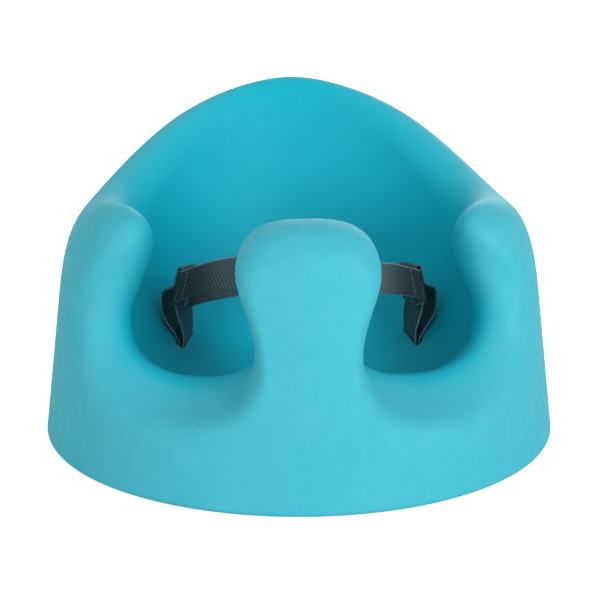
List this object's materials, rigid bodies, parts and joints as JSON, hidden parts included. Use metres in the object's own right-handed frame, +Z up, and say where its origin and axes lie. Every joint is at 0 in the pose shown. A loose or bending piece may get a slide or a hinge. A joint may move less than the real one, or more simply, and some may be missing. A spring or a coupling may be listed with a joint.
{
  "type": "baby floor seat",
  "caption": "Low moulded foam floor seat for a baby: deep bowl, horn between two leg openings, rounded arm rests, tall curved back, and a webbing lap belt with a side-release buckle.",
  "frame": {"origin": "centre of the base, on the surface the seat stands on", "axes": "+Z up, -Y the seat's front with the horn and leg openings, +X to the seated child's left"},
  "size_m": [0.3788, 0.3788, 0.2413],
  "materials": {
    "moulded_foam": "turquoise integral-skin polyurethane foam, smooth and satin",
    "belt_webbing": "charcoal woven polypropylene webbing",
    "buckle_plastic": "black moulded acetal",
    "pin_steel": "drawn steel rod"
  },
  "bodies": {
    "seat": {"seat_shell": "moulded_foam", "left_anchor_loop": "belt_webbing", "right_anchor_loop": "belt_webbing", "left_anchor_plate": "buckle_plastic", "right_anchor_plate": "buckle_plastic", "left_anchor_pin": "pin_steel", "right_anchor_pin": "pin_steel", "left_lap_strap": "belt_webbing", "right_lap_strap": "belt_webbing"},
    "tongue": {"buckle_tongue": "buckle_plastic"},
    "upper_prong": {"upper_prong": "buckle_plastic"},
    "lower_prong": {"lower_prong": "buckle_plastic"},
    "housing": {"buckle_housing": "buckle_plastic"}
  },
  "joints": [
    {"name": "tongue_release", "type": "slide", "parent": "seat", "child": "tongue", "axis": [-1, 0, 0], "range_m": [0, 0.013], "deforming": ["left_lap_strap", "right_lap_strap", "upper_prong", "lower_prong"]},
    {"name": "housing_release", "type": "slide", "parent": "seat", "child": "housing", "axis": [1, 0, 0], "range_m": [0, 0.013], "deforming": ["left_lap_strap", "right_lap_strap", "upper_prong", "lower_prong"]},
    {"name": "upper_prong_press", "type": "hinge", "parent": "tongue", "child": "upper_prong", "pos_m": [-0.0096, -0.026, 0.1338], "axis": [0, 1, 0], "range_deg": [0, 9], "stiffness_Nm_per_rad": 0.6},
    {"name": "lower_prong_press", "type": "hinge", "parent": "tongue", "child": "lower_prong", "pos_m": [-0.0096, -0.026, 0.1092], "axis": [0, 1, 0], "range_deg": [-9, 0], "stiffness_Nm_per_rad": 0.6}
  ],
  "couplings": [
    {"joint": "housing_release", "follows": "tongue_release", "ratio": 1}
  ]
}
